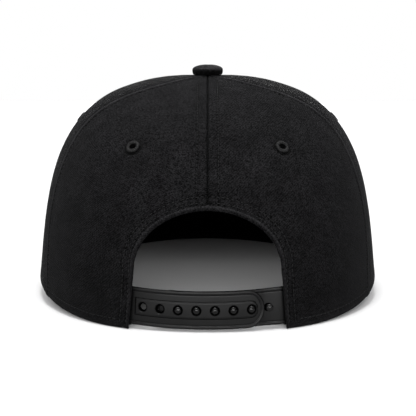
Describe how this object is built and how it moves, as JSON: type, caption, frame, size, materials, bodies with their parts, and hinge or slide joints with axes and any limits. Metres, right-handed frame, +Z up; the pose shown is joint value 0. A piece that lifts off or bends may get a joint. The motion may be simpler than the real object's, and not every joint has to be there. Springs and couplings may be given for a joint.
{
  "type": "snapback cap",
  "caption": "Black structured six-panel cap with a covered button, a gently cambered flat peak and a snap strap across the arched opening at the back.",
  "frame": {"origin": "on the surface that the cap rests on, under the middle of its length and width", "axes": "+Y from the strap at the back towards the peak's front edge, +X to the wearer's right, +Z up to the button"},
  "size_m": [0.1778, 0.266, 0.1177],
  "materials": {
    "crown_twill": "matt black cotton twill, fine diagonal weave, slight sheen at grazing angles",
    "eyelet_thread": "black satin-stitched embroidery thread",
    "button_cover": "black cotton twill stretched over a button",
    "peak_cover": "black cotton twill over a stiff board, rows of stitching",
    "sweatband_cloth": "matt black woven tape",
    "strap_plastic": "soft black moulded plastic with a satin surface"
  },
  "bodies": {
    "root": {"back_panel_left": "crown_twill", "back_panel_right": "crown_twill", "side_panel_left": "crown_twill", "side_panel_right": "crown_twill", "front_panel_left": "crown_twill", "front_panel_right": "crown_twill", "eyelet_back_left": "eyelet_thread", "eyelet_back_right": "eyelet_thread", "eyelet_side_left": "eyelet_thread", "eyelet_side_right": "eyelet_thread", "eyelet_front_left": "eyelet_thread", "eyelet_front_right": "eyelet_thread", "button": "button_cover", "peak": "peak_cover", "sweatband": "sweatband_cloth", "strap_with_holes": "strap_plastic", "strap_with_studs": "strap_plastic"}
  },
  "joints": []
}
